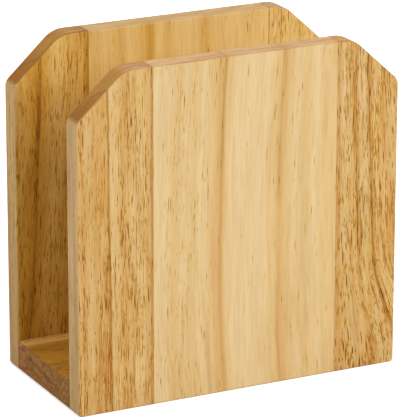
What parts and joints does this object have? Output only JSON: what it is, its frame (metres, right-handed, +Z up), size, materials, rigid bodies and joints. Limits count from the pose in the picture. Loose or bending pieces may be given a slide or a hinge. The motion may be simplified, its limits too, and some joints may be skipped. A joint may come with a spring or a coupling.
{
  "type": "napkin holder",
  "caption": "Upright wooden napkin holder: two boards with clipped top corners on a narrow base, open at the top and both ends.",
  "frame": {"origin": "on the table, under the middle of the holder", "axes": "+X along the panels to the right as seen from the front, +Y from the front panel to the rear one, +Z up"},
  "size_m": [0.178, 0.086, 0.175],
  "materials": {
    "tan_wood": "clear satin, warm tan with dark pores",
    "cream_wood": "clear satin, pale cream with soft brown streaks",
    "figured_wood": "clear satin, golden with dark slanting figure",
    "base_wood": "clear satin, tan with fine brown grain",
    "dowel_wood": "bare, pale"
  },
  "bodies": {
    "root": {"front_panel_left_stave": "tan_wood", "front_panel_middle_stave": "cream_wood", "front_panel_right_stave": "figured_wood", "rear_panel_left_stave": "tan_wood", "rear_panel_middle_stave": "cream_wood", "rear_panel_right_stave": "figured_wood", "base_rear_stave": "base_wood", "base_middle_stave": "base_wood", "base_front_stave": "base_wood", "front_dowels": "dowel_wood", "rear_dowels": "dowel_wood"}
  },
  "joints": []
}
